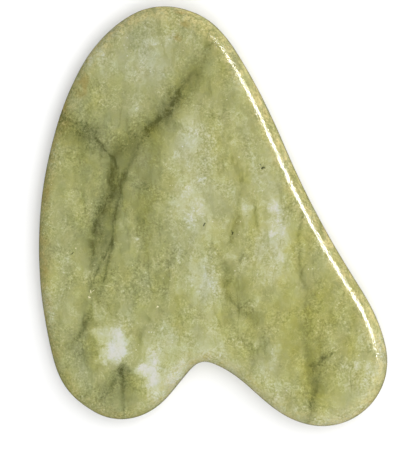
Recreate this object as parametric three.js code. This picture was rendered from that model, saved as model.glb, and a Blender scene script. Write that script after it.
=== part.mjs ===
// Gua sha scraper: one flat plate of polished stone, with a single broad lobe at one end and
// two lobes with a hollow notch between them at the other. It is carved from one piece.
//
// Millimetres, +Z up. The plate lies on its back face, with the origin under the middle of its
// outline. +Y runs towards the single lobe, and the notch opens towards -Y.

import * as THREE from "three";

const THICKNESS = 6;
const RIM_REACH = 2.4; // how far in from the edge the rounding starts on each face
const RIM_DROP = 2.6; // how far down from each face the rounding ends, leaving a narrow land
const RIM_STEPS = 6;
const OUTLINE_STEPS = 240;
const BRIDGE = 0.38; // length of a bridge's handles, as a share of the gap that it crosses

const DEGREE = Math.PI / 180;

// The outline, clockwise seen from above, as round stretches joined by smooth bridges.
// Each stretch is given by the point at its middle, the way that point faces, its radius
// and the angle that it turns through. A hollow stretch curves round a centre outside the plate.
const STRETCHES = [
  { name: "crown", at: [-9.9, 36.4], faces: 97, radius: 12, turns: 50 },
  { name: "right shoulder", at: [2.6, 30.8], faces: 39, radius: 21.5, turns: 12 },
  { name: "right flank", at: [18.9, -0.5], faces: 28.5, radius: 163, turns: 8, hollow: true },
  { name: "right lobe", at: [27.4, -33.1], faces: -45, radius: 11.4, turns: 118 },
  { name: "notch", at: [-1.9, -25.6], faces: -77, radius: 3.3, turns: 66, hollow: true },
  { name: "left lobe", at: [-17, -35.8], faces: -95, radius: 9.5, turns: 50 },
  { name: "left flank", at: [-30.8, -6.7], faces: -179.5, radius: 73.4, turns: 30 },
  { name: "left shoulder", at: [-21.7, 28.2], faces: 144, radius: 24.4, turns: 16 },
];

// The point at an angle on a circle, and the heading of someone who passes it.
function pointAt(centre, radius, angle) {
  return new THREE.Vector2(Math.cos(angle), Math.sin(angle)).multiplyScalar(radius).add(centre);
}

function headingAt(angle, hollow) {
  const turn = hollow ? 1 : -1;
  return new THREE.Vector2(-Math.sin(angle), Math.cos(angle)).multiplyScalar(turn);
}

// Works out a stretch's centre, its end angles, and the point and heading at both ends.
function arcOf({ at, faces, radius, turns, hollow = false }) {
  const middle = (hollow ? faces + 180 : faces) * DEGREE;
  const half = ((hollow ? turns : -turns) / 2) * DEGREE;
  const centre = new THREE.Vector2(...at).sub(pointAt(new THREE.Vector2(), radius, middle));
  const [from, to] = [middle - half, middle + half];
  return {
    centre,
    radius,
    hollow,
    from,
    to,
    start: { point: pointAt(centre, radius, from), heading: headingAt(from, hollow) },
    end: { point: pointAt(centre, radius, to), heading: headingAt(to, hollow) },
  };
}

// A cubic curve that leaves one stretch and joins the next along their headings.
function addBridge(path, leave, join) {
  const handle = BRIDGE * leave.point.distanceTo(join.point);
  const first = leave.heading.clone().multiplyScalar(handle).add(leave.point);
  const second = join.heading.clone().multiplyScalar(-handle).add(join.point);
  path.bezierCurveTo(first.x, first.y, second.x, second.y, join.point.x, join.point.y);
}

function plateOutline() {
  const arcs = STRETCHES.map(arcOf);
  const path = new THREE.Path();
  path.moveTo(arcs[0].start.point.x, arcs[0].start.point.y);
  arcs.forEach((arc, i) => {
    path.absarc(arc.centre.x, arc.centre.y, arc.radius, arc.from, arc.to, !arc.hollow);
    addBridge(path, arc.end, arcs[(i + 1) % arcs.length].start);
  });
  return new THREE.Shape(path.getSpacedPoints(OUTLINE_STEPS).slice(0, -1));
}

// The plate: flat on both faces, with an elliptical rounding all along both edges.
function jadePlate() {
  const geometry = new THREE.ExtrudeGeometry(plateOutline(), {
    depth: THICKNESS - 2 * RIM_DROP,
    bevelThickness: RIM_DROP,
    bevelSize: RIM_REACH,
    bevelOffset: -RIM_REACH,
    bevelSegments: RIM_STEPS,
  });
  geometry.computeBoundingBox();
  const { min, max } = geometry.boundingBox;
  geometry.translate(-(min.x + max.x) / 2, -(min.y + max.y) / 2, -min.z);
  const polishedJade = new THREE.MeshStandardMaterial({
    color: 0xa6a772,
    roughness: 0.2,
    metalness: 0,
  });
  const mesh = new THREE.Mesh(geometry, polishedJade);
  mesh.name = "jade_plate";
  return mesh;
}

const scraper = new THREE.Group();
scraper.add(jadePlate());

export default scraper;
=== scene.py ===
"""A gua sha scraper of polished green jade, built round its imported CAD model.

The stone's colour is worked out in millimetres all through the plate, so a vein that crosses the
front face also shows on the edge and, a little to one side, on the back.
"""

import math

import bmesh
import bpy
import numpy as np
from mathutils import Matrix, Vector, kdtree, noise

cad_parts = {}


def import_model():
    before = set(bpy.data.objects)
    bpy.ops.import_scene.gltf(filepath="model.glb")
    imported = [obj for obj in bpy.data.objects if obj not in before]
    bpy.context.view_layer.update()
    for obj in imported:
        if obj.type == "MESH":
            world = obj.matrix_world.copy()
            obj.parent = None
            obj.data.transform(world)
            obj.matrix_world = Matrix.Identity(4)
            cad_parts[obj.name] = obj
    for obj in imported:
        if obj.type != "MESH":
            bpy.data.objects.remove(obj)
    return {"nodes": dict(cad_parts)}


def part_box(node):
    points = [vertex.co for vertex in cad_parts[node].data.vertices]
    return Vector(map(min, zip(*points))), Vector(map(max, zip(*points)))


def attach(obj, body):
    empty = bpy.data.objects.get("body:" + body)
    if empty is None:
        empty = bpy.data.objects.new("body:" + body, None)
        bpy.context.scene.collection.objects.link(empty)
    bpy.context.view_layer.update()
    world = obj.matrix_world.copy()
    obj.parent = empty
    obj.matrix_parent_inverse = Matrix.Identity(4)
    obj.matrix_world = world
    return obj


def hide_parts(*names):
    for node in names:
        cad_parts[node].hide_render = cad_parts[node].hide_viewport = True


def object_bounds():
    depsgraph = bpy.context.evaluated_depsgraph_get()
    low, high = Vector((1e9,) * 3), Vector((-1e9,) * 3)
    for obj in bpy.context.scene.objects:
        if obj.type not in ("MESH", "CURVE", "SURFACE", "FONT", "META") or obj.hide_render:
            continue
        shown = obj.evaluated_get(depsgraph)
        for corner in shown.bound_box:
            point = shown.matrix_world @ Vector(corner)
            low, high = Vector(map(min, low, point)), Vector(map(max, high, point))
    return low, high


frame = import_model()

CAD_LOW, CAD_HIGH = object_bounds()
PLATE_LOW, PLATE_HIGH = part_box("jade_plate")
THICKNESS = PLATE_HIGH.z - PLATE_LOW.z
MM = 0.001

# ---------------------------------------------------------------- the board's mesh

WELD_DISTANCE = 0.001 * MM
VOXEL = 0.32 * MM
SMOOTHING = 0.5
SMOOTHING_ROUNDS = 8
# How far hand grinding left the surface from true: wavelength and height of each swell.
SWELLS = [(13 * MM, 0.07 * MM), (5 * MM, 0.022 * MM)]
EDGE_STEPS = 10  # points taken along each edge of the CAD outline, to measure distances from it
WAIST = 0.01 * MM  # how far from half its height an edge of the CAD still counts as its outline


def settled(piece, name):
    """The piece's mesh with its modifiers worked out."""
    graph = bpy.context.evaluated_depsgraph_get()
    mesh = bpy.data.meshes.new_from_object(piece.evaluated_get(graph))
    mesh.name = name
    piece.modifiers.clear()
    piece.data = mesh
    return piece


def fine_copy(node):
    """An even, dense, seamless mesh of a CAD node."""
    welded = bmesh.new()
    welded.from_mesh(frame["nodes"][node].data)
    bmesh.ops.remove_doubles(welded, verts=welded.verts, dist=WELD_DISTANCE)
    mesh = bpy.data.meshes.new("board")
    welded.to_mesh(mesh)
    welded.free()
    piece = bpy.data.objects.new("polished_board", mesh)
    bpy.context.scene.collection.objects.link(piece)
    remesh = piece.modifiers.new("even", "REMESH")
    remesh.mode = "VOXEL"
    remesh.voxel_size = VOXEL
    smooth = piece.modifiers.new("smooth", "SMOOTH")
    smooth.factor = SMOOTHING
    smooth.iterations = SMOOTHING_ROUNDS
    return settled(piece, "board")


def hand_ground(piece):
    """Leaves the faint swells of a hand-held wheel, within the plate's own thickness."""
    vertices = piece.data.vertices
    places, normals = (np.empty((len(vertices), 3), np.float32) for _ in range(2))
    vertices.foreach_get("co", places.reshape(-1))
    vertices.foreach_get("normal", normals.reshape(-1))
    rises = [sum(h * noise.noise(Vector(co) / w) for w, h in SWELLS) for co in places]
    places += normals * np.array(rises, np.float32)[:, None]
    places[:, 2] = np.clip(places[:, 2], PLATE_LOW.z, PLATE_HIGH.z)
    vertices.foreach_set("co", places.reshape(-1))
    piece.data.polygons.foreach_set("use_smooth", [True] * len(piece.data.polygons))
    piece.data.update()


def mark_edge_distance(piece):
    """Stores each point's distance in millimetres from the plate's outline, for the material."""
    cad = frame["nodes"]["jade_plate"].data
    places = [vertex.co for vertex in cad.vertices]
    middle = (PLATE_LOW.z + PLATE_HIGH.z) / 2
    waist = min(abs(co.z - middle) for co in places) + WAIST
    outline = []
    for edge in cad.edges:
        start, end = (places[i] for i in edge.vertices)
        if max(abs(start.z - middle), abs(end.z - middle)) < waist:
            outline += [start.lerp(end, step / EDGE_STEPS) for step in range(EDGE_STEPS)]
    tree = kdtree.KDTree(len(outline))
    for i, co in enumerate(outline):
        tree.insert((co.x, co.y, 0), i)
    tree.balance()
    attribute = piece.data.attributes.new("edge_distance", "FLOAT", "POINT")
    for vertex, value in zip(piece.data.vertices, attribute.data):
        value.value = tree.find((vertex.co.x, vertex.co.y, 0))[2] / MM


# ---------------------------------------------------------------- shader building blocks


class Graph:
    """Adds nodes to a tree, so that a pattern reads as a formula. Arguments are numbers or sockets."""

    def __init__(self, tree):
        self.tree = tree

    def node(self, kind, **settings):
        made = self.tree.nodes.new("ShaderNode" + kind)
        for name, value in settings.items():
            setattr(made, name, value)
        return made

    def feed(self, socket, value):
        """Links a socket to another, or sets it to a number."""
        if isinstance(value, bpy.types.NodeSocket):
            self.tree.links.new(value, socket)
        else:
            socket.default_value = value

    def math(self, operation, *values, clamp=False):
        made = self.node("Math", operation=operation, use_clamp=clamp)
        for socket, value in zip(made.inputs, values):
            self.feed(socket, value)
        return made.outputs[0]

    def vector(self, operation, *values):
        made = self.node("VectorMath", operation=operation)
        for socket, value in zip(made.inputs, values):
            self.feed(socket, value)
        return made.outputs["Value" if operation in ("LENGTH", "DOT_PRODUCT") else "Vector"]

    def scaled(self, vector, factor):
        made = self.node("VectorMath", operation="SCALE")
        self.feed(made.inputs[0], vector)
        self.feed(made.inputs["Scale"], factor)
        return made.outputs["Vector"]

    def total(self, values):
        """Adds values up one by one. A generator makes each just before it is added, which keeps
        the number of values that the renderer has to hold at once small."""
        result = 0.0
        for value in values:
            result = self.math("ADD", value, result)
        return result

    def ramp(self, value, low, high, start=0.0, end=1.0):
        """A smooth step from start to end as value goes from low to high."""
        made = self.node("MapRange", interpolation_type="SMOOTHSTEP")
        for socket, given in zip(made.inputs, (value, low, high, start, end)):
            self.feed(socket, given)
        return made.outputs["Result"]

    def noise(self, place, size, detail=2.0, roughness=0.5, output="Fac"):
        """Noise whose coarsest lumps are about size millimetres across, from 0 to 1."""
        made = self.node("TexNoise")
        self.feed(made.inputs["Vector"], place)
        made.inputs["Scale"].default_value = 1 / size
        made.inputs["Detail"].default_value = detail
        made.inputs["Roughness"].default_value = roughness
        return made.outputs[output]

    def swing(self, place, size, reach, **settings):
        """Noise that swings about 0, by up to about reach each way."""
        centred = self.math("SUBTRACT", self.noise(place, size, **settings), 0.5)
        return self.math("MULTIPLY", centred, 2 * reach)

    def crystals(self, place, size, output="Color"):
        """Cells about size millimetres across: a colour of its own for each, or the distance from
        its middle."""
        made = self.node("TexVoronoi")
        self.feed(made.inputs["Vector"], place)
        made.inputs["Scale"].default_value = 1 / size
        return made.outputs[output]

    def mix(self, share, first, second, blend="MIX"):
        made = self.node("Mix", data_type="RGBA", blend_type=blend)
        self.feed(made.inputs["Factor"], share)
        # The colour sockets come after the ones for numbers and vectors, which have the same names.
        self.feed(made.inputs[6], first)
        self.feed(made.inputs[7], second)
        return made.outputs[2]

    def colours(self, value, stops):
        made = self.node("ValToRGB")
        elements = made.color_ramp.elements
        while len(elements) < len(stops):
            elements.new(0.5)
        for element, (position, colour) in zip(elements, stops):
            element.position = position
            element.color = colour
        self.feed(made.inputs["Fac"], value)
        return made.outputs["Color"]


def srgb(red, green, blue):
    """A colour as a screen shows it, from 0 to 255, as the linear colour that the shader takes."""
    def linear(level):
        level /= 255
        return level / 12.92 if level <= 0.04045 else ((level + 0.055) / 1.055) ** 2.4
    return (linear(red), linear(green), linear(blue), 1.0)


# ---------------------------------------------------------------- the stone's own pattern

# Dark veins. Each is a list of (x, y, half width, darkness) in millimetres, from top to bottom.
VEINS = {
    "main": [
        (-0.5, 31.5, 0.8, 0), (-0.7, 30, 0.8, 0.35), (-2, 27, 1.0, 0.35), (-3.5, 23, 1.2, 0.4),
        (-6, 20, 1.2, 0.7), (-8.7, 17.5, 1.2, 1), (-11, 16, 1.0, 1), (-12.5, 13.5, 1.0, 0.8),
        (-13.7, 11, 1.0, 0.7), (-16, 6.5, 0.8, 0.6), (-17, 2, 0.4, 0.8), (-17.7, -1, 0.35, 0.9),
        (-17.9, -5, 0.35, 0.9), (-19, -9, 0.35, 0.9), (-19.8, -12.5, 0.4, 0.6), (-21, -17.5, 0.6, 0),
    ],
    "main, left strand": [
        (-17.5, 11.5, 0.7, 0), (-18, 9.5, 0.9, 0.6), (-18, 5.5, 1.2, 0.9), (-19.5, 1.5, 1.1, 0.9),
        (-20.7, -1, 1.1, 0.9), (-21.3, -4, 1.1, 0.9), (-21.5, -7.5, 0.9, 0.9), (-21.7, -9.5, 0.6, 0),
    ],
    "main, second thread": [
        (-17.8, -3, 0.3, 0), (-18.5, -5.5, 0.3, 0.7), (-20.9, -10, 0.3, 0.8), (-22, -13, 0.4, 0.5),
        (-22.5, -15, 0.4, 0),
    ],
    "main, upper strand": [
        (-3.2, 26, 0.6, 0), (-4.5, 24, 0.7, 0.6), (-6, 22, 0.8, 0.9), (-7.5, 19, 0.9, 0),
    ],
    "left branch": [
        (-27.5, 18, 0.7, 0), (-26, 17, 0.9, 0.4), (-22.5, 16, 1.0, 0.5), (-21, 14, 0.5, 0.6),
        (-19.3, 12, 0.35, 0.9), (-17.5, 9.8, 0.35, 0.7), (-17, 8, 0.5, 0),
    ],
    "olive line": [
        (-9, 13.5, 0.7, 0), (-9.5, 11, 0.7, 0.35), (-9.5, 8, 0.7, 0.35), (-9.5, 4.5, 0.5, 0.25),
        (-11, 2, 0.7, 0.3), (-11.5, 0.5, 0.5, 0),
    ],
    "middle": [
        (-6.5, -1.5, 0.5, 0), (-6.5, -3, 0.5, 0.3), (-7.5, -7.5, 0.5, 0.5), (-8, -9.5, 0.6, 0.6),
        (-8.5, -12, 0.9, 0.6), (-9, -14.5, 0.9, 0.3), (-10, -16.5, 0.9, 0),
    ],
    "right olive": [
        (5, 9, 0.5, 0), (5, 5.5, 0.5, 0.6), (4.3, 3, 0.5, 0.5), (4.1, -1, 0.8, 0.75),
        (3.6, -3, 0.8, 0.9), (3, -5, 0.9, 0),
    ],
    "right tick": [
        (7.2, 3.5, 0.4, 0), (7.3, 2.2, 0.5, 0.8), (7.6, -0.5, 0.5, 0.9), (8.2, -2.4, 0.5, 0.5),
        (8.7, -3.5, 0.5, 0),
    ],
    "right thread": [
        (5.8, -3, 0.35, 0), (5.6, -4, 0.35, 0.5), (5.1, -5.4, 0.4, 0.6), (4.8, -7, 0.5, 0.9),
        (4.7, -8.2, 0.5, 0),
    ],
    "right middle": [
        (0, -4.5, 0.7, 0), (1.2, -6.8, 0.8, 0.55), (2.3, -9.5, 1.1, 0.8), (2.2, -12, 1.0, 0.7),
        (3, -14, 1.1, 0.65), (4.8, -15.9, 0.9, 0.7), (6, -17.8, 1.0, 0),
    ],
    "right long": [
        (15.6, 2.5, 0.4, 0), (15.6, 1, 0.4, 0.5), (15, -3, 0.5, 0.6), (15.4, -9.5, 0.5, 0.7),
        (16.5, -13, 0.9, 0.5), (16, -18.5, 1.2, 0.4), (16.5, -22.5, 1.1, 0.5), (17.5, -27.5, 1.1, 0.8),
        (18, -30, 0.7, 0.6), (17, -32.5, 0.6, 0.8), (17, -37, 0.6, 0.7),
    ],
    "notch side": [
        (7, -22, 0.7, 0), (6.5, -23.5, 0.7, 0.5), (7, -25.5, 0.7, 0.5), (6, -28, 0.9, 0.3),
        (5.5, -29.5, 0.9, 0),
    ],
    "fan, middle": [
        (-16.5, -25.5, 0.7, 0), (-16.5, -26.5, 0.7, 0.9), (-16, -28.5, 0.7, 0.8), (-16, -32, 0.5, 0.6),
        (-15.5, -37, 0.5, 0.3),
    ],
    "fan, left": [
        (-16, -25.5, 0.5, 0), (-16.5, -27, 0.6, 0.5), (-17.5, -28.5, 0.6, 0.5),
        (-19.5, -31.5, 0.6, 0.35), (-21.5, -33.5, 0.7, 0),
    ],
    "fan, right": [
        (-16, -25.5, 0.7, 0), (-15.5, -26.5, 0.7, 0.6), (-14, -27.5, 0.7, 0.5),
        (-12.5, -28.5, 0.7, 0.3), (-11, -30, 0.7, 0),
    ],
    "left diagonal": [
        (-21, -13, 0.5, 0), (-21.9, -16, 0.6, 0.5), (-22.5, -18.2, 1.1, 0.9), (-23.5, -20, 1.0, 0.9),
        (-25, -22.5, 0.6, 0.5), (-27, -25.5, 0.7, 0),
    ],
    "beside the white": [
        (-11.5, -16.5, 0.9, 0), (-11.5, -18, 0.9, 0.5), (-12.5, -20, 0.9, 0.55), (-13.5, -23.5, 0.7, 0),
    ],
    "smudge": [
        (22, -22.7, 0.35, 0), (20.8, -23.2, 0.35, 0.6), (19.5, -24, 0.4, 1), (18.5, -25, 0.35, 0.6),
        (17.8, -25.7, 0.35, 0),
    ],
}

# Broad darker drifts, in the same form as the veins.
DRIFTS = {
    "main": [
        (-0.5, 31.5, 2.2, 0), (-2, 28, 2.5, 0.35), (-5, 23, 3.0, 0.6), (-10.5, 16.5, 3.2, 0.75),
        (-16.5, 11, 3.2, 0.65), (-18, 5, 3.2, 0.8), (-19, 0, 3.2, 0.85), (-19.5, -5, 3.0, 0.75),
        (-20, -10, 2.8, 0.5), (-21, -17, 2.5, 0),
    ],
    "left": [
        (-31, 20, 2, 0.1), (-26, 17.5, 2.5, 0.5), (-22, 13.5, 3.2, 0.8), (-18.5, 10.5, 3, 0.35),
        (-16, 8, 3, 0),
    ],
    "centre": [
        (-10, 15, 2, 0), (-12, 8, 2.6, 0.5), (-12, 0, 2.8, 0.4), (-11, -8, 2.5, 0.2), (-11, -20, 2, 0),
    ],
    "right": [
        (14.5, 8, 2, 0), (17, -5, 1.6, 0.3), (16.5, -15, 1.6, 0.2), (17.5, -24, 2.6, 0.45),
        (17, -37, 2.6, 0.3),
    ],
    "above the notch": [(4, -8, 2.2, 0), (5, -14, 2.2, 0.4), (8, -20, 2.5, 0.4), (8, -25, 2.5, 0)],
    "fan": [(-16, -25, 2, 0), (-16.5, -28, 3.0, 0.5), (-16.5, -32, 4, 0.4), (-16, -37, 4, 0.3)],
}

# Broad pale zones, and zones of yellower stone: (x, y, half width, half height, strength), in
# millimetres. A negative strength makes a zone darker, or less yellow.
PALE_ZONES = [
    (-12, 28, 8, 6, 0.45), (-22, 28, 4, 4, 0.8), (-18, 23, 3, 3, -0.5), (3, 24, 5, 7, 0.1),
    (-10, 24, 2.5, 2.5, 0.3), (-6, 24, 2, 3, -0.35), (-26, 15, 3, 8, -0.25), (1.5, 14, 4, 5, 0.35),
    (-10, 14.2, 2, 3, -0.5), (-4, 13, 3, 5, 0.25), (8, 8, 6, 10, 0.55), (-3.5, 5, 4.5, 14, 0.85),
    # The zone at (18, 0) below is a painted highlight: it widens the glint of light along the right
    # edge.
    (2, 3, 3, 4, 0.3), (13.5, 5, 2, 4, -0.6), (18, 0, 1.5, 2.5, 0.4), (-24, 9.5, 3, 4, -0.4),
    (-15.5, 5, 3, 4, -0.3), (-13, -2, 2, 8, -0.3), (-14, -4, 2, 2.5, 0.5), (-14, -8.3, 1.5, 3, -0.3),
    (-10, -8, 2, 2, 0.3), (-22.2, -8.3, 2, 3, 0.4), (11, -4, 4, 9, 0.8), (15, -6, 6, 8, 0.35),
    (0, -14, 3.5, 8, 0.6), (-2, -12, 3, 4, 0.55), (-1, -12, 6, 4, 0.35), (-10, -12.5, 1.5, 2.5, -0.4),
    (14, -16.3, 2, 2.5, 0.4), (18.2, -12.3, 1.5, 2.5, -0.3), (-25, -13, 3, 6, 0.3),
    (-30, -16, 2, 5, 0.4), (-19, -16, 3, 3, -0.3), (-3, -25, 10, 6, 1.0), (-13, -22, 5, 5, 0.5),
    (-22, -20.5, 3, 6, -0.7), (-23, -28, 2.5, 2.5, 0.4), (-14, -28, 1.8, 2, -0.6),
    (-6.2, -28.7, 2.8, 3, 1.0), (-10, -31.5, 3, 3, 0.9), (8, -30, 5, 5, 0.8), (12.5, -33, 5, 4, 0.5),
    (15, -37, 6, 4, 0.9), (27.8, -25, 3.5, 9, 0.9), (25, -31, 5, 5, 0.5), (18, -20, 5, 3, 0.2),
    # The zone at (26.5, -16) below is painted shade: it dims the stone where the highlight by the right
    # edge spreads.
    (20, -36, 8, 4, 0.5), (-22, -23.5, 2.5, 3, -0.4), (-26, 8, 2, 3, 0.3), (26.5, -16, 2.5, 3, -0.3),
    (-14, -32.5, 2, 2.5, 0.35),
]
YELLOW_ZONES = [
    (-2, 26, 4, 8, 0.5), (-13, 29, 10, 7, -0.8), (-18, 28, 3, 3, 0.3), (-14, 19, 3, 3, -0.75),
    (-27, 17, 5, 9, 0.3), (-24, 18, 5, 5, -0.4), (-22, 7, 3, 4, -0.2), (0, 14, 8, 5, 0.2),
    (3, 10, 4, 9, 0.35), (6, 12, 5, 6, 0.35), (12, 0, 7, 9, 0.4), (6, -6, 3, 5, -0.35),
    (2, -12.5, 2, 3, 0.3), (17, -20, 10, 14, 1), (21, -15, 2.5, 3, -0.25), (-1, -18, 7, 9, 0.7),
    (0, -24, 4, 2.5, 0.35), (10, -24, 3, 4, -1), (9, -28.5, 3, 2.5, 0.6), (-10, -24.5, 3, 4, 0.7),
    (-14.5, -24.5, 2.5, 3, -0.3), (-24, -26, 3, 3, -0.3), (-6.5, -29, 3, 3, 0.4), (-10, -32, 3, 3, 0.3),
    (4.2, 0, 1.5, 4, 0.4), (7.6, 0, 1.2, 3, 0.35), (2.8, -12.5, 2, 5, 0.4), (15.3, -4, 1.6, 6, 0.2),
    (-23, -22, 3, 4, -0.35), (26, -28, 2.5, 3, 0.4),
]

# Pale clouds in the stone: (x, y, half width, half height, whiteness) in millimetres.
CLOUDS = [
    (-18.2, -23.2, 2.4, 3.5, 1.0), (-16.8, -22, 1.6, 3.2, 0.75), (-20.4, -20.4, 1.7, 1.4, 0.85),
    (-18.3, -19.5, 1.6, 1.8, 0.45), (-11.5, -27.6, 2.7, 2.4, 1.0), (-13.5, -26.5, 2, 1.2, 0.5),
    (-20, -16.8, 1.9, 2.0, 0.95), (-8.5, 25.5, 1.4, 2.2, 0.35), (-4, 31, 1.8, 1.5, 0.35),
    (-4.5, 29, 1.2, 1.2, 0.3), (-11, 30.5, 1.4, 1.2, 0.5), (-14.5, 19.5, 2.2, 1.7, 0.35),
    (-11.5, 20, 0.8, 1.3, 0.3), (-17, 26, 2.2, 1.7, 0.2), (-20, 10.5, 1.1, 1.7, 0.3),
    (-4.5, 16.3, 3.2, 2.9, 0.4), (-5, 12, 2.2, 2.2, 0.4), (-6, 3, 2.2, 2.7, 0.35),
    (-3, -0.5, 3.0, 3.0, 0.42), (-7, -2.5, 1.2, 1.7, 0.3), (-6.5, -6, 1.2, 1.7, 0.3),
    (-3.5, -8, 2.6, 2.2, 0.3), (-6.5, -12.5, 1.2, 1.7, 0.5), (-2.5, 7, 0.7, 0.6, 0.5),
    (-11, 0, 0.8, 0.7, 0.4), (-16, -1.5, 1, 1.4, 0.6), (-14, -3.5, 0.6, 0.6, 0.5),
    (-14.5, 7.5, 0.8, 0.6, 0.45), (-24.5, -8, 1.1, 0.8, 0.35), (5.8, 1.7, 1.3, 1.3, 0.55),
    (10.4, 2.2, 3.2, 1.6, 0.42), (11.5, 0.5, 1.7, 1.6, 0.12), (10.3, -2.9, 1.2, 0.6, 0.6),
    (10.2, -4.8, 1.2, 0.6, 0.4), (11.9, -6.2, 1.4, 1.0, 0.5), (2.4, -1.5, 1.0, 0.8, 0.4),
    (3, -6.5, 1.2, 0.8, 0.55), (6, -8, 1.4, 0.8, 0.55), (8.5, -9.5, 1.8, 2.2, 0.25),
    (-1.5, -10.5, 1.7, 2.2, 0.3), (7.5, -14.4, 1, 1.6, 0.6), (7.5, -21.5, 1.1, 1.1, 0.6),
    (10.5, -23.4, 1.2, 2.5, 0.85), (25, -25.5, 0.8, 1.2, 0.5), (23, -29, 0.8, 1.2, 0.35),
    (17, -17.5, 1.2, 0.8, 0.3), (9, -26.5, 2.2, 1.2, 0.25), (-8.5, -19, 1.6, 2.7, 0.3),
    (-10, -24, 1.6, 1.6, 0.3), (-7, -28, 1.6, 1.6, 0.3), (-2.5, -22.5, 1.1, 1.1, 0.3),
    (-25.5, -17.5, 1.2, 1.2, 0.35),
]

# Tiny black inclusions: (x, y, radius) in millimetres.
SPECKS = [
    (8.2, 9.5, 0.2), (8.8, 8.9, 0.25), (3.5, -2.4, 0.25), (-1.7, -0.8, 0.2), (-25, -6.4, 0.15),
    (5.9, 0.1, 0.12), (18.9, -11.9, 0.15),
]

# Rusty spots near the edge: (x, y, half width, half height, strength) in millimetres.
RUST_SPOTS = [
    (-22.8, 23, 0.7, 1.6, 0.55), (-23.8, 21.5, 0.6, 0.8, 0.4), (-6.5, 31, 0.9, 0.6, 0.5),
    (-5, 33.5, 0.8, 0.5, 0.45), (-6, 35.6, 1.0, 0.3, 0.6), (27.5, -31.8, 0.5, 0.5, 0.6),
    (26, -33.2, 0.6, 0.3, 0.4), (-29.6, 4, 0.4, 2.2, 0.4), (-30, -9, 0.4, 2.5, 0.4),
]

# Painted glints: bright gold-white spots that stand in for light caught by tiny crystals, in the same
# form as the specks.
PAINTED_GLINTS = [
    (-21.9, -13.1, 0.25), (-21.8, -13.9, 0.2), (-21.4, -12.8, 0.15), (-25.6, -6.5, 0.15),
    (-9.8, -15.6, 0.18), (-24.2, -5.6, 0.12),
]

ORIGIN = (0.8, -0.3)  # where the tables' (0, 0) lies in the plate, in millimetres
SLANT = (0.35, -0.2)  # how far the veins shift in x and y for each millimetre of depth
DEPTH_SHARE = 0.5  # how much of the depth counts in the pattern, which changes slowly inwards
CURVE_REACH = 40.0  # a curve node holds values from 0 to 1, so places run from -CURVE_REACH to it


def curve(graph, value, stops, levels):
    """A smooth curve through (stop, level) points, all of them from 0 to 1."""
    made = graph.node("FloatCurve")
    points = made.mapping.curves[0].points
    while len(points) < len(stops):
        points.new(0, 0)
    for point, stop, level in zip(points, stops, levels):
        point.location = (stop, level)
        point.handle_type = "AUTO_CLAMPED"
    made.mapping.update()
    graph.feed(made.inputs["Value"], value)
    return made.outputs["Value"]


def vein_mask(graph, x, y, points):
    """How dark one vein makes the point (x, y): a core that fades out on both sides."""
    xs, ys, widths, strengths = (np.array(column, float) for column in zip(*points))
    slopes = np.gradient(xs, ys)
    widths = widths * np.sqrt(1 + slopes**2)  # the width across the vein, taken along x
    stops = (ys[0] - ys) / (ys[0] - ys[-1])
    travelled = graph.node("MapRange", clamp=True)
    for socket, value in zip(travelled.inputs, (y, ys[0], ys[-1], 0.0, 1.0)):
        graph.feed(socket, value)
    along = travelled.outputs["Result"]
    centre = curve(graph, along, stops, xs / (2 * CURVE_REACH) + 0.5)
    offset = graph.math("MULTIPLY_ADD", centre, -2 * CURVE_REACH, graph.math("ADD", x, CURVE_REACH))
    width = curve(graph, along, stops, widths / widths.max())
    share = graph.math("DIVIDE", offset, graph.math("MULTIPLY", width, widths.max()))
    fading = graph.math("MULTIPLY_ADD", share, share, 1.0)
    strength = curve(graph, along, stops, strengths)
    return graph.math("DIVIDE", strength, graph.math("MULTIPLY", fading, fading))


def cloud_mask(graph, place, cloud, core=0.2, rim=1.6):
    """How pale one cloud makes a place: full in its core, nothing beyond its rim."""
    x, y, half_width, half_height, strength = cloud
    offset = graph.vector("SUBTRACT", place, (x, y, 0))
    share = graph.vector("MULTIPLY", offset, (1 / half_width, 1 / half_height, 1))
    return graph.ramp(graph.vector("LENGTH", share), core, rim, strength, 0.0)


def warped(graph, place, swings):
    """The place moved about by noise: each swing is (lump size, reach) in millimetres."""
    for size, reach in swings:
        push = graph.noise(place, size, detail=2.0, output="Color")
        centred = graph.vector("SUBTRACT", push, (0.5, 0.5, 0.5))
        place = graph.vector("ADD", place, graph.scaled(centred, 2 * reach))
    return place


# The stone's colours from its darkest veins to its whitest clouds, as they look on screen.
SHADES = [
    (0.00, (88, 90, 50)), (0.18, (115, 117, 71)), (0.42, (145, 147, 94)), (0.54, (160, 161, 106)),
    (0.65, (174, 175, 121)), (0.76, (187, 188, 142)), (0.86, (198, 198, 164)), (1.00, (209, 207, 187)),
]
STUDIO_GAIN = 1.22  # how many times its own colour a surface looks in the studio's light
IRON_STAIN = (160, 145, 78)
PALE_STAIN = (230, 216, 156)
RUST = (156, 138, 76)
SPECK_BLACK = (40, 42, 28)
# The colour of the painted glints, a painted highlight.
PAINTED_GLINT_GOLD = (246, 238, 196)

# How far each part of the pattern moves the stone along SHADES, from PLAIN_STONE.
PLAIN_STONE = 0.537
PALE_ZONE_LIFT = 0.17
WHITE_LIFT = 0.36
# The sparkles are painted highlights, bright pin-points for crystals that catch the light.
PAINTED_SPARKLE_LIFT = 0.42
VEIN_DROP = 0.28
DRIFT_DROP = 0.31

# Tints from a cool grey green to a warm yellow green, and what moves the stone along them.
TINTS = [
    (0.2, (0.97, 1.0, 1.34, 1.0)), (0.5, (0.99, 1.0, 1.02, 1.0)), (0.8, (1.015, 1.0, 0.68, 1.0)),
]
YELLOW_ZONE_WARMING = 0.22
PALE_ZONE_COOLING = -0.14
WHITE_COOLING = -0.15

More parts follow.
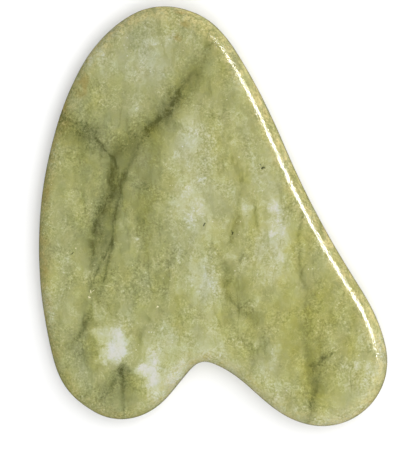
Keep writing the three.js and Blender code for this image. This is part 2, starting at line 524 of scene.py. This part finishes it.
# The edge's stain and its coarser grain are full up to the first of these distances from the
# outline, and gone at the second, in millimetres.
EDGE_BAND = (0.2, 3.6)
PAINTED_GLOW_REACH = 0.6  # how far in from the outline the painted glow reaches, standing in for light through the rim, in millimetres
PAINTED_GLOW_GAIN = 1.25  # how much paler the painted glow makes the rim
# Along the lower edge there is less stain and no painted glow in the rim. Both grow to full between
# these heights, in millimetres.
LOWER_EDGE = (-30.0, -18.0)
# Towards the upper right the stain gets paler and the stone a little redder, between these
# distances along UPPER_RIGHT, in millimetres.
UPPER_RIGHT = (1.0, 0.5, 0.0)
UPPER_RIGHT_BAND = (-18.0, 8.0)

JADE_IOR = 1.58
SCATTERING = 0.15  # the share of the light that goes into the stone before it comes back
SCATTERING_REACH = 0.8 * MM
SCATTERING_BY_CHANNEL = (1.0, 0.95, 0.5)
RIPPLE_HEIGHT = 0.075 * MM


def lit(shade):
    """The surface colour that looks like a shade once it is lit."""
    return tuple(level / STUDIO_GAIN for level in srgb(*shade)[:3]) + (1.0,)


def stone_places(graph):
    """Places in millimetres: in the plate, and along the beds of the stone, which lie at a slant.
    The third result is the plate's own y."""
    place = graph.scaled(graph.node("TexCoord").outputs["Object"], 1 / MM)
    split = graph.node("SeparateXYZ")
    graph.feed(split.inputs[0], place)
    x, y, z = split.outputs
    depth = graph.math("SUBTRACT", THICKNESS / MM, z)
    bedded = graph.node("CombineXYZ")
    for axis, along in enumerate((x, y)):
        moved = graph.math("SUBTRACT", along, ORIGIN[axis])
        graph.feed(bedded.inputs[axis], graph.math("MULTIPLY_ADD", depth, SLANT[axis], moved))
    graph.feed(bedded.inputs[2], graph.math("MULTIPLY", depth, DEPTH_SHARE))
    return place, bedded.outputs[0], y


def veining(graph, bed, drawn_out):
    """How much the dark veins and drifts darken the stone."""
    spot = graph.node("SeparateXYZ")
    graph.feed(spot.inputs[0], warped(graph, bed, [(6.0, 0.25), (1.4, 0.4), (0.5, 0.25)]))
    x, y, _ = spot.outputs
    broken = graph.ramp(
        graph.noise(drawn_out, 1.2, detail=4.0, roughness=0.65), 0.35, 0.65, 0.5, 1.4,
    )
    veins = graph.total(vein_mask(graph, x, y, points) for points in VEINS.values())
    veins = graph.math("MULTIPLY", graph.math("MULTIPLY", veins, broken), VEIN_DROP)
    drifts = graph.total(vein_mask(graph, x, y, points) for points in DRIFTS.values())
    return graph.math("MULTIPLY_ADD", drifts, DRIFT_DROP, veins)


def cloudiness(graph, flat_bed, drawn_out):
    """Where the stone is white: fluffy clouds, from 0 to 1."""
    fluff = graph.swing(drawn_out, 1.6, 0.65, detail=4.0, roughness=0.58)
    clouds = graph.total(cloud_mask(graph, flat_bed, cloud) for cloud in CLOUDS)
    return graph.ramp(graph.math("ADD", clouds, fluff), 0.05, 1.35)


def needles(graph, place, cell, width, slenderness, reach):
    """Bundles of fine needles, about 0: in each crystal cell they run in a direction of its own."""
    tint = graph.crystals(warped(graph, place, [(cell, 0.35 * cell)]), cell)
    direction = graph.vector("NORMALIZE", graph.vector("SUBTRACT", tint, (0.5, 0.5, 0.5)))
    along = graph.vector("DOT_PRODUCT", place, direction)
    shift = graph.math("MULTIPLY", along, 1 - 1 / slenderness)
    squeezed = graph.vector("SUBTRACT", place, graph.scaled(direction, shift))
    return graph.swing(squeezed, width, reach, detail=1.0)


def texture(graph, place, bed, drawn_out, white, near_edge):
    """The stone's own mottling, fibres and sugary grain, about 0. The grain is weaker in white stone
    and stronger along the edge."""
    # Broad mottling, with patches and flakes that have clearer outlines.
    mottle = graph.swing(drawn_out, 4.0, 0.15, detail=3.0, roughness=0.55)
    patches = graph.noise(drawn_out, 3.0, detail=4.0, roughness=0.6)
    patches = graph.ramp(patches, 0.46, 0.54, -0.035, 0.035)
    flakes = graph.noise(graph.vector("ADD", drawn_out, (50.0, 0.0, 0.0)), 1.5, detail=3.0)
    flakes = graph.ramp(flakes, 0.52, 0.57, -0.01, 0.032)
    # Dark upright hairs.
    upright = graph.vector("MULTIPLY", bed, (1.0, 0.3, 0.6))
    ridge = graph.math("ABSOLUTE", graph.swing(upright, 4.5, 1.0, detail=4.0))
    hairs = graph.math(
        "MULTIPLY", graph.ramp(ridge, 0.0, 0.06, 0.11, 0.0),
        graph.ramp(graph.noise(place, 6.0), 0.4, 0.62),
    )
    # Pale tangled threads.
    tangle = warped(graph, place, [(1.2, 0.5)])
    thread = graph.math("ABSOLUTE", graph.swing(tangle, 1.0, 1.0, detail=2.0, roughness=0.6))
    fibres = graph.math(
        "MULTIPLY", graph.ramp(thread, 0.0, 0.10, 0.12, 0.0),
        graph.ramp(graph.noise(place, 2.6, detail=2.0), 0.42, 0.62),
    )
    # Fine crystals and bundles of needles, strong only in sugary places and along the edge.
    crystalline = graph.total([
        graph.swing(place, 0.38, 0.19, detail=2.0, roughness=0.8),
        graph.swing(drawn_out, 1.2, 0.07, detail=2.0, roughness=0.7),
        needles(graph, place, cell=1.7, width=0.36, slenderness=3.0, reach=0.16),
        needles(graph, place, cell=0.8, width=0.28, slenderness=2.2, reach=0.15),
    ])
    sugary = graph.ramp(graph.noise(place, 4.0, detail=3.0), 0.36, 0.64, 0.08, 1.4)
    sugary = graph.math("MULTIPLY", sugary, graph.math("MULTIPLY_ADD", white, -0.6, 1.0))
    sugary = graph.math("MULTIPLY_ADD", near_edge, 0.7, sugary)
    crystalline = graph.math("MULTIPLY", crystalline, sugary)
    return graph.math("SUBTRACT", graph.total([mottle, patches, flakes, fibres, crystalline]), hairs)


def painted_sparkles(graph, place, flat_bed):
    """Painted sparkles: pin-point bright dots in loose clusters, standing in for crystals that catch
    the light.
    """
    distance = graph.crystals(place, 0.45, output="Distance")
    dots = graph.ramp(distance, 0.12, 0.3, 1.0, 0.0)
    chosen = graph.ramp(graph.crystals(place, 0.45), 0.62, 0.66)
    clusters = graph.ramp(graph.noise(flat_bed, 3.5, detail=2.0), 0.56, 0.68)
    return graph.math("MULTIPLY", graph.math("MULTIPLY", dots, chosen), clusters)


def zoned(graph, flat_bed, zones):
    """The sum of broad, soft zones."""
    return graph.total(cloud_mask(graph, flat_bed, zone, core=0.0) for zone in zones)


def tinted(graph, colour, drawn_out, flat_bed, pale, white):
    """The colour, drifting between a cool grey green and a warm yellow green."""
    yellow_zones = zoned(graph, flat_bed, YELLOW_ZONES)
    drift = graph.noise(drawn_out, 5.0, detail=5.0, roughness=0.68)
    yellowness = graph.math("MULTIPLY_ADD", pale, PALE_ZONE_COOLING, drift)
    yellowness = graph.math("MULTIPLY_ADD", white, WHITE_COOLING, yellowness)
    yellowness = graph.math("MULTIPLY_ADD", yellow_zones, YELLOW_ZONE_WARMING, yellowness)
    return graph.mix(1.0, colour, graph.colours(yellowness, TINTS), blend="MULTIPLY")


def stained(graph, colour, place, flat_bed, y, near_edge, paleness):
    """The colour with iron stain in blotches along the edge, and rusty spots. The stain gets paler
    towards the upper right."""
    blotches = graph.ramp(graph.noise(place, 1.8, detail=6.0, roughness=0.8), 0.42, 0.62)
    stain = graph.math("MULTIPLY", near_edge, graph.math("MULTIPLY_ADD", blotches, 0.66, 0.06))
    stain = graph.math("MULTIPLY", stain, graph.ramp(y, *LOWER_EDGE, 0.6, 1.0))
    share = graph.math(
        "ADD", graph.math("MULTIPLY_ADD", paleness, 0.7, 0.12),
        graph.swing(place, 0.45, 1.4, detail=2.0, roughness=0.7), clamp=True,
    )
    colour = graph.mix(stain, colour, graph.mix(share, lit(IRON_STAIN), lit(PALE_STAIN)))
    rust = graph.total(cloud_mask(graph, flat_bed, spot) for spot in RUST_SPOTS)
    return graph.mix(rust, colour, lit(RUST))


def warmed(graph, colour, bed, paleness):
    """The colour with its red drifting up and down, and a little redder to the upper right."""
    drift = graph.noise(bed, 3.0, detail=4.0, roughness=0.65)
    warmth = graph.math("MULTIPLY_ADD", paleness, 0.14, drift)
    warmer = graph.node("CombineXYZ")
    factors = (graph.math("MULTIPLY_ADD", warmth, 0.12, 0.94), 1.0, 1.0)
    for socket, factor in zip(warmer.inputs, factors):
        graph.feed(socket, factor)
    return graph.vector("MULTIPLY", colour, warmer.outputs[0])


def painted_rim_glow(graph, colour, edge, y):
    """The colour made paler in the thin rim, a painted glow that stands in for light coming through it.
    """
    gain = graph.ramp(y, *LOWER_EDGE, 1.0, PAINTED_GLOW_GAIN)
    return graph.scaled(colour, graph.ramp(edge, 0.0, PAINTED_GLOW_REACH, gain, 1.0))


def specks_and_painted_glints(graph, colour, flat_bed):
    """The colour with its black inclusions and its painted glints, bright spots that stand in for light
    caught by tiny crystals.
    """
    for dots, shade in ((SPECKS, SPECK_BLACK), (PAINTED_GLINTS, PAINTED_GLINT_GOLD)):
        speck_and_glint_mask = graph.total(
            cloud_mask(graph, flat_bed, (x, y, radius, radius, 0.85), core=0.4, rim=1.3)
            for x, y, radius in dots
        )
        colour = graph.mix(speck_and_glint_mask, colour, lit(shade))
    return colour


def polished(graph, place, colour):
    """The stone's surface: a hand polish, with faint ripples, over slightly translucent stone."""
    shader = graph.node("BsdfPrincipled")
    graph.feed(shader.inputs["Base Color"], colour)
    rough = graph.math("MULTIPLY_ADD", graph.noise(place, 1.2, detail=3.0), 0.08, 0.03)
    graph.feed(shader.inputs["Roughness"], rough)
    shader.inputs["IOR"].default_value = JADE_IOR
    shader.inputs["Subsurface Weight"].default_value = SCATTERING
    shader.inputs["Subsurface Radius"].default_value = SCATTERING_BY_CHANNEL
    shader.inputs["Subsurface Scale"].default_value = SCATTERING_REACH
    bump = graph.node("Bump")
    bump.inputs["Distance"].default_value = RIPPLE_HEIGHT
    bump.inputs["Strength"].default_value = 1.0
    height = graph.math(
        "MULTIPLY_ADD", graph.noise(place, 1.5, detail=1.0), 0.6,
        graph.noise(place, 0.4, detail=2.0, roughness=0.65),
    )
    graph.feed(bump.inputs["Height"], height)
    graph.feed(shader.inputs["Normal"], bump.outputs[0])
    return shader


def jade():
    """The board's one material."""
    material = bpy.data.materials.new("polished_jade")
    material.use_nodes = True
    material.node_tree.nodes.clear()
    graph = Graph(material.node_tree)
    place, bed, y = stone_places(graph)
    drawn_out = graph.vector(
        "MULTIPLY", warped(graph, bed, [(5.0, 0.8), (1.5, 0.9)]), (1.0, 0.55, 1.0),
    )
    flat_bed = graph.vector(
        "MULTIPLY", warped(graph, bed, [(5.0, 0.8), (1.5, 1.0), (0.5, 0.5)]), (1.0, 1.0, 0.0),
    )
    edge = graph.node("Attribute", attribute_name="edge_distance").outputs["Fac"]
    near_edge = graph.ramp(edge, *EDGE_BAND, 1.0, 0.0)
    pale = zoned(graph, flat_bed, PALE_ZONES)
    white = cloudiness(graph, flat_bed, drawn_out)
    level = graph.total([
        texture(graph, place, bed, drawn_out, white, near_edge),
        graph.math("MULTIPLY", pale, PALE_ZONE_LIFT),
        graph.math("MULTIPLY", white, WHITE_LIFT),
        # Painted highlights: pin-point sparkles lighten the stone.
        graph.math("MULTIPLY", painted_sparkles(graph, place, flat_bed), PAINTED_SPARKLE_LIFT),
        graph.math("MULTIPLY", veining(graph, bed, drawn_out), -1.0),
    ])
    level = graph.math("ADD", level, PLAIN_STONE, clamp=True)

    colour = graph.colours(level, [(position, lit(shade)) for position, shade in SHADES])
    colour = tinted(graph, colour, drawn_out, flat_bed, pale, white)
    paleness = graph.ramp(graph.vector("DOT_PRODUCT", place, UPPER_RIGHT), *UPPER_RIGHT_BAND)
    colour = stained(graph, colour, place, flat_bed, y, near_edge, paleness)
    colour = warmed(graph, colour, bed, paleness)
    # Painted glow: the rim made paler, standing in for light through it.
    colour = painted_rim_glow(graph, colour, edge, y)
    # Black inclusions, and painted glints of light.
    colour = specks_and_painted_glints(graph, colour, flat_bed)

    shader = polished(graph, place, colour)
    output = graph.node("OutputMaterial")
    graph.feed(output.inputs["Surface"], shader.outputs[0])
    return material


# ---------------------------------------------------------------- the studio

VIEW_FROM_RIGHT = math.radians(10)
VIEW_FROM_ABOVE = math.radians(2)
VIEW_DISTANCE = 0.60
VIEW_HEIGHT = 81.1 * MM  # what the picture's long side takes in, at the plate
# How far to the right of and above the picture's middle the plate lies.
OBJECT_OFF_CENTRE = Vector((2.02 * MM, 2.98 * MM, 0))
SENSOR_WIDTH = 36
FLOOR_SIZE = 4.0
FLOOR_GAP = 0.02 * MM


def camera():
    """Looks nearly straight down at the face, from a little to the right and above."""
    data = bpy.data.cameras.new("camera")
    data.sensor_width = SENSOR_WIDTH
    data.lens = data.sensor_width * VIEW_DISTANCE / VIEW_HEIGHT
    data.clip_start, data.clip_end = 0.01, 20
    back = Vector((
        math.sin(VIEW_FROM_RIGHT) * math.cos(VIEW_FROM_ABOVE),
        math.sin(VIEW_FROM_ABOVE),
        math.cos(VIEW_FROM_RIGHT) * math.cos(VIEW_FROM_ABOVE),
    ))
    right = Vector((0, 1, 0)).cross(back).normalized()
    up = back.cross(right)
    aim = (CAD_LOW + CAD_HIGH) / 2 - OBJECT_OFF_CENTRE
    made = bpy.data.objects.new("camera", data)
    made.matrix_world = Matrix.Translation(aim + back * VIEW_DISTANCE) @ Matrix(
        (right, up, back)
    ).transposed().to_4x4()
    bpy.context.scene.collection.objects.link(made)
    bpy.context.scene.camera = made


def softbox(name, azimuth, tilt, distance, width, height, power, lights):
    """A rectangular light that faces the plate. Azimuth is from +X towards +Y, tilt is from +Z.
    It gives either the gloss, as a mirrored card does, or the colour, as a polarised lamp does."""
    data = bpy.data.lights.new(name, "AREA")
    data.shape = "RECTANGLE"
    data.size, data.size_y = width, height
    data.energy = power
    made = bpy.data.objects.new(name, data)
    a, t = math.radians(azimuth), math.radians(tilt)
    away = Vector((math.cos(a) * math.sin(t), math.sin(a) * math.sin(t), math.cos(t)))
    made.location = away * distance
    made.rotation_mode = "QUATERNION"
    made.rotation_quaternion = away.to_track_quat("Z", "Y")
    made.visible_glossy = lights == "gloss"
    made.visible_diffuse = lights == "colour"
    bpy.context.scene.collection.objects.link(made)


def floor():
    """The pale table top. It stays out of the polish, where it would make the rim milky."""
    bpy.ops.mesh.primitive_plane_add(size=FLOOR_SIZE, location=(0, 0, PLATE_LOW.z - FLOOR_GAP))
    plane = bpy.context.object
    plane.name = "floor"
    plane.visible_glossy = False
    material = bpy.data.materials.new("pale_floor")
    material.use_nodes = True
    shader = material.node_tree.nodes["Principled BSDF"]
    shader.inputs["Base Color"].default_value = (0.88, 0.88, 0.885, 1)
    shader.inputs["Roughness"].default_value = 0.6
    plane.data.materials.append(material)


def world(strength):
    """The room's even light. It stays out of the polish, where it would grey the dark veins."""
    sky = bpy.data.worlds.new("room")
    bpy.context.scene.world = sky
    sky.use_nodes = True
    background = sky.node_tree.nodes["Background"]
    background.inputs["Color"].default_value = (1.0, 1.0, 1.0, 1)
    background.inputs["Strength"].default_value = strength
    sky.cycles_visibility.glossy = False


# ---------------------------------------------------------------- putting it together

camera()
world(0.5)
softbox("gleam", azimuth=29, tilt=49, distance=0.9, width=0.29, height=0.29, power=10, lights="gloss")
softbox("side", azimuth=38, tilt=42, distance=1.2, width=1.6, height=1.6, power=15.2, lights="colour")
softbox("front", azimuth=-75, tilt=38, distance=1.3, width=1.2, height=1.2, power=11.5, lights="colour")
floor()
bpy.context.scene.view_settings.view_transform = "Standard"

board = fine_copy("jade_plate")
hand_ground(board)
mark_edge_distance(board)
board.data.materials.clear()
board.data.materials.append(jade())
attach(board, "root")
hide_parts("jade_plate")
